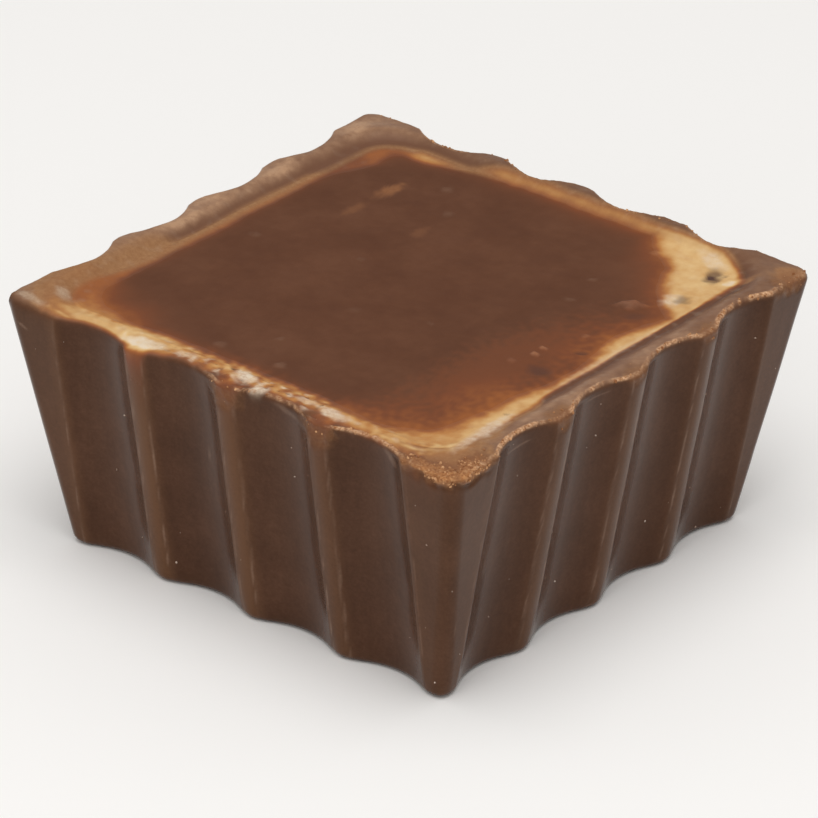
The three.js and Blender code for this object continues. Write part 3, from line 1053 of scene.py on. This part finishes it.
def wearCase(piece, wear):
    mesh = piece.data
    x, y, z = readPlaces(mesh).T
    along, side, row, fromRib = (readValues(mesh, name) for name in ("along", "side", "row", "fromRib"))
    side = np.round(side).astype(int) % 4
    edge = rowShare(row, "edgeRows")
    rim = rowShare(row, "rimRows")
    onWall = rowShare(row, "footRows") * (1 - edge)
    inTub = smooth(rowShare(row, "tubRows"), 0, 1)
    below = np.maximum(rimHeight - z, 0) + farAway * inTub
    girth = x + y  # runs on round the corners, for the wall's unevenness
    outX, outY = outwardAt(x, y)

    torn = np.zeros_like(x)
    bite = np.zeros_like(x)
    for brokenSide, spot, halfWidth, fallDown, depth, grit in brokenTops:
        apart = np.abs(along - spot) / halfWidth + farAway * (side != brokenSide)
        far = np.hypot(apart, (below + 0.9 * rim) / fallDown) + layers("breakEdge", girth, z)
        mask = (1 - smooth(far, 0.3, 1.15)) * (1 - smooth(rim, 0.3, 0.8))
        torn = np.maximum(torn, grit * mask)
        bite = np.maximum(bite, depth * mask * (0.85 + layers("bite", girth, z)))
    onFlute = smooth(fromRib, *wear["ribSpan"])
    nearRim = smooth(edge, 0.3, 0.75) * (1 - smooth(rim, 0.0, 0.08))
    crumbling = crumblyEdge(side, along) * nearRim
    ragged = np.clip(0.5 + layers("lip", girth, z), 0, 1)
    onRibs = wear["ribLip"] * (side != 0)
    lip = crumbling * ragged * (onRibs + (1 - onRibs) * onFlute)
    melted = meltedEdge(side, along) * np.exp(-below / wear["meltedReach"]) * (1 - smooth(rim, 0.0, 0.7))

    uneven = layers("wall", girth, z) * onWall
    rough = torn * layers("torn", girth, z)
    toothed = crumbling * layers("teeth", girth, z)
    rollBelow = below + layers("rollWaver", girth, z)
    roll = rolledCorner(side, along, rollBelow) * (1 + layers("rollLumps", girth, z))
    push = uneven + rough - bite + wear["lipPush"] * lip + wear["toothPush"] * toothed + roll
    push = push * (1 - smooth(rim, 0.0, 0.35)) - wear["meltedPush"] * melted
    x = x + outX * push
    y = y + outY * push
    onTop = smooth(edge, 0, 1) * (1 - inTub)
    worn = wear["biteDrop"] * bite * (1 - smooth(rim, 0.1, 0.6))
    worn = worn + wear["meltedDrop"] * melted - wear["lipPush"] * lip
    grit = torn * layers("rimGrit", x, y) * smooth(tubDistance(x, y), 0.25, 0.6)
    sunk = fillingEdge["sink"] * (1 - smooth(tubDistance(x, y), *fillingEdge["sinkSpan"]))
    z = z + onTop * (topHeight(x, y) - worn + grit - sunk)
    writePlaces(mesh, np.stack([x, y, z], axis=1))

    stain = wear["stain"] + wear["ribStain"] * (1 - onFlute) * stainedRibs(side, along)
    spill = np.maximum(onTop, np.exp(-below / stain))
    paintTop(mesh, x, y, onTop * (1 - torn), spill * (1 - inTub) * (1 - 0.7 * torn))
    flats = 1 - 0.45 * smooth(np.abs(along), 11.6, 12.4)  # less scuffed beside the corners
    cleaner = 0.4 * smooth(along, 3.0, 6.0) * (side == 0) + 0.5 * (side == 1)
    # pale lines along the rib and corner edges: partly chips, partly a painted glint of the crisp edges
    ribEdge = ridge(fromRib, *wear["ribEdge"]) * (np.abs(along) < 11.5)
    flatEdge = 0.6 * ridge(np.abs(along), *wear["flatEdge"])
    chipsAndGlints = (ribEdge + flatEdge) * np.clip(0.2 + layers("chipsAndGlints", girth * 2, z * 0.4), 0, 0.7)
    for name, values in {
        "torn": torn * (1 - 0.5 * smooth(rim, 0.2, 0.7)),
        "lip": lip,
        "crumbly": np.maximum(0.7 * torn ** 2, 0.6 * lip),
        "rib": (1 - smooth(fromRib, 0.1, 1.1)) * flats * (1 - cleaner) * onWall,
        "scuffAndGlint": np.clip(scuffsAt(side, along, below) + chipsAndGlints, 0, 1) * onWall,
        "bareWall": onWall * (1 - torn),
    }.items():
        writeValues(mesh, name, values)


case = runTree(buildCaseTree(caseSizes, makeWallMaterial(wallLook)), "fluted_case", caseSizes)
wearCase(case, caseWear)
print("case worn")


# filling and coat: closed lofts through rings round the middle

ringColumns = 960
searchReach = 20.0  # past the corners
ringAngles = np.arange(ringColumns) * 2 * np.pi / ringColumns
ringDirections = np.stack([np.cos(ringAngles), np.sin(ringAngles)], axis=1)


# how far out each direction meets the line where a distance is 0
def ringRadius(distance):
    near = np.zeros(ringColumns)
    far = np.full(ringColumns, searchReach)
    for halving in range(40):
        middle = (near + far) / 2
        inside = distance(*(ringDirections * middle[:, None]).T) < 0
        near = np.where(inside, middle, near)
        far = np.where(inside, far, middle)
    return (near + far) / 2


# the sharp ring is the thin edge, where the top does not shade into the underside
def loftPiece(name, rings, startHeight, endHeight, material, sharpRing):
    count = len(rings[0])
    points = np.concatenate([[(0, 0, startHeight)], *rings, [(0, 0, endHeight)]])
    here = np.arange(count)
    after = (here + 1) % count
    faces = np.stack([np.zeros(count, int), 1 + after, 1 + here], axis=1).tolist()
    for level in range(len(rings) - 1):
        low = 1 + level * count
        high = low + count
        faces += np.stack([low + here, low + after, high + after, high + here], axis=1).tolist()
    top = 1 + (len(rings) - 1) * count
    faces += np.stack([np.full(count, len(points) - 1), top + here, top + after], axis=1).tolist()
    mesh = bpy.data.meshes.new(name)
    mesh.from_pydata((points * mm).tolist(), [], faces)
    mesh.polygons.foreach_set("use_smooth", np.ones(len(mesh.polygons), bool))
    ends = np.empty(len(mesh.edges) * 2, np.int32)
    mesh.edges.foreach_get("vertices", ends)
    onRing = (ends.reshape(-1, 2) - 1) // count == sharpRing
    mesh.edges.foreach_set("use_edge_sharp", onRing.all(axis=1))
    mesh.materials.append(material)
    paintTop(mesh, points[:, 0], points[:, 1])
    print(name, "made,", len(mesh.polygons), "faces")
    return addObject(name, mesh)


tubRadius = ringRadius(tubDistance)
coatRadius = ringRadius(coatDistance)


def ringAt(radius, height):
    x, y = (ringDirections * radius[:, None]).T
    level = height(x, y) if callable(height) else np.full(ringColumns, height)
    return np.stack([x, y, level], axis=1)


wallGap = 0.05
fillingSizes = {
    "floor": caseSizes["tubFloor"] + wallGap,
    "floorRound": 1.2,
    "wallTop": 13.6,
    "lift": 0.006,
    "edgeLift": -0.007,
    "lapHalf": 0.15,
    "underCoat": 1.4,
    "dish": 0.9,
    "dishInset": 0.6,
    "bandRings": 44,
}


def makeFilling(sizes, material):
    taper = (caseSizes["topSide"] - caseSizes["baseSide"]) / 2 / rimHeight
    floorBend = sizes["floor"] + sizes["floorRound"]
    dishHeight = rimHeight - sizes["dish"]
    outer = ringRadius(lambda x, y: tubDistance(x, y) - fillingEdge["overlap"])
    inner = coatRadius - sizes["underCoat"]

    def wallRadius(height):
        return tubRadius - wallGap - taper * (rimHeight - height)

    def surface(x, y):
        onRim = smooth(tubDistance(x, y), -sizes["lapHalf"], sizes["lapHalf"])
        return rimHeight + topHeight(x, y) + sizes["lift"] + (sizes["edgeLift"] - sizes["lift"]) * onRim

    rings = [
        ringAt(wallRadius(sizes["floor"]) - sizes["floorRound"], sizes["floor"]),
        ringAt(wallRadius(floorBend), floorBend),
        ringAt(wallRadius(sizes["wallTop"]), sizes["wallTop"]),
    ]
    edgeRing = len(rings)
    for share in np.linspace(0, 1, sizes["bandRings"]):
        rings.append(ringAt(outer + (inner - outer) * share, surface))
    rings.append(ringAt(inner - sizes["dishInset"], dishHeight))
    return loftPiece("cream_filling", rings, sizes["floor"], dishHeight, material, edgeRing)


coatSizes = {
    "thickness": 0.5,
    "bevel": 1.1,
    "lift": 0.055,
    "edgeLift": -0.025,  # the coat's edge rises out of the filling
    "edgeDepth": 0.08,
    "taper": 1.1,
    "edgeRings": 26,
    "edgeWidth": 1.6,
    "innerRings": 50,
}


def makeCoat(sizes, material):
    underside = rimHeight - topShape["coatDrop"] - sizes["thickness"]

    def surface(x, y):
        rising = smooth(-coatDistance(x, y), 0, sizes["taper"])
        lift = sizes["edgeLift"] + (sizes["lift"] - sizes["edgeLift"]) * rising
        return rimHeight + topHeight(x, y) + lift

    rings = [
        ringAt(coatRadius - sizes["bevel"], underside),
        ringAt(coatRadius, lambda x, y: surface(x, y) - sizes["edgeDepth"]),
    ]
    edgeRing = len(rings)
    for share in np.linspace(0, 1, sizes["edgeRings"]):
        rings.append(ringAt(coatRadius - sizes["edgeWidth"] * share, surface))
    for share in np.linspace(1, 0, sizes["innerRings"], endpoint=False)[1:]:
        rings.append(ringAt((coatRadius - sizes["edgeWidth"]) * share, surface))
    centre = float(surface(np.zeros(1), np.zeros(1))[0])
    return loftPiece("brown_coat", rings, underside, centre, material, edgeRing)


filling = makeFilling(fillingSizes, makeFillingMaterial(fillingLook))
coat = makeCoat(coatSizes, makeCoatMaterial(coatLook))


# crumbs and dust: small lumps scattered over the case by the value painted on it

rimCrumbs = {"perSquareMetre": 6.0e7, "smallest": 0.02, "largest": 0.14, "seed": 5}
wallDust = {"perSquareMetre": 6.0e4, "smallest": 0.03, "largest": 0.1, "seed": 8}
lumpShape = {"thinnest": (0.6, 0.5, 0.35), "fullest": (1.0, 0.9, 0.7), "fewLarge": 2.5}


def buildScatterTree(name, sizes, where, material):
    tree, size = openTree(name, sizes)
    carrier = tree.nodes["Group Input"].outputs["Geometry"]
    weight = addNode(tree, "GeometryNodeInputNamedAttribute", {"Name": where}, data_type="FLOAT")
    density = Rule(tree, weight.outputs[0]) * size["perSquareMetre"]
    spots = addNode(tree, "GeometryNodeDistributePointsOnFaces", {
        "Mesh": carrier, "Density": density, "Seed": size["seed"],
    })
    lump = addNode(tree, "GeometryNodeMeshIcoSphere", {"Radius": mm, "Subdivisions": 1})

    def chance(step, kind, inputs=None):
        seeded = {"Seed": size["seed"] + step, **(inputs or {})}
        return addNode(tree, "FunctionNodeRandomValue", seeded, data_type=kind)

    shape = chance(0.0, "FLOAT_VECTOR", {0: lumpShape["thinnest"], 1: lumpShape["fullest"]})
    larger = Rule(tree, chance(1.0, "FLOAT").outputs[1]).work("POWER", lumpShape["fewLarge"])
    across = size["smallest"].towards(size["largest"], larger)
    scale = addNode(tree, "ShaderNodeVectorMath", {0: shape.outputs[0], "Scale": across}, operation="SCALE")
    spin = chance(2.0, "FLOAT_VECTOR", {1: (math.tau, math.tau, math.tau)})
    placed = addNode(tree, "GeometryNodeInstanceOnPoints", {
        "Points": spots.outputs["Points"],
        "Instance": lump.outputs["Mesh"],
        "Rotation": spin.outputs[0],
        "Scale": scale.outputs[0],
    })
    tint = {"Name": "tint", "Value": chance(3.0, "FLOAT").outputs[1]}
    tinted = passOn(tree, placed.outputs[0], "StoreNamedAttribute", tint, domain="INSTANCE")
    return closeTree(tree, tinted, material)


def scatter(name, sizes, where, look):
    tree = buildScatterTree(name + "_scatter", sizes, where, makeLumpMaterial(look))
    return runTree(tree, name, sizes, case.data.copy())


crumbs = scatter("rim_crumbs", rimCrumbs, "crumbly", crumbLook)
dust = scatter("wall_dust", wallDust, "bareWall", dustLook)


# floor and light

stageLook = {
    "floorSize": 3.0,
    "floor": tone(249, 248, 246),
    "floorRoughness": 0.9,
    "floorGloss": 0.1,
    "world": 0.45,
    "worldTint": (1.0, 0.98, 0.96, 1.0),
    # name, azimuth, elevation, distance, width, height, power
    "lamps": [
        ("overhead", 38, 76, 0.5, 0.45, 0.45, 1.6),
        ("front", 20, 30, 0.5, 0.4, 0.3, 0.35),
    ],
}


def makeFloor(look):
    half = look["floorSize"] / 2
    mesh = bpy.data.meshes.new("floor")
    corners = [(-half, -half, 0), (half, -half, 0), (half, half, 0), (-half, half, 0)]
    mesh.from_pydata(corners, [], [(0, 1, 2, 3)])
    material, tree, shader = openMaterial("pale_floor")
    setSurface(tree, shader, look["floor"], look["floorRoughness"], look["floorGloss"])
    mesh.materials.append(material)
    return addObject("floor", mesh)


def makeLamp(name, azimuth, elevation, distance, width, height, power):
    data = bpy.data.lights.new(name, "AREA")
    data.shape = "RECTANGLE"
    data.size = width
    data.size_y = height
    data.energy = power
    lamp = addObject(name, data)
    away = lookFrom(azimuth, elevation)
    lamp.location = away * distance
    lamp.rotation_euler = away.to_track_quat("Z", "Y").to_euler()


def lightStage(look):
    world = bpy.data.worlds.new("pale_room")
    world.use_nodes = True
    background = world.node_tree.nodes["Background"]
    background.inputs["Color"].default_value = look["worldTint"]
    background.inputs["Strength"].default_value = look["world"]
    scene.world = world
    scene.view_settings.view_transform = "Standard"
    for lamp in look["lamps"]:
        makeLamp(*lamp)


floor = makeFloor(stageLook)
lightStage(stageLook)
print("stage lit")


# each piece takes its place in the frame

for piece, node, slot in (
    (case, "shell", "milk_chocolate"),
    (filling, "filling", "pale_filling"),
    (coat, "top_coat", "brown_coat"),
):
    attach(piece, "root")
    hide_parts(node)
for piece in (crumbs, dust):
    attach(piece, "root")
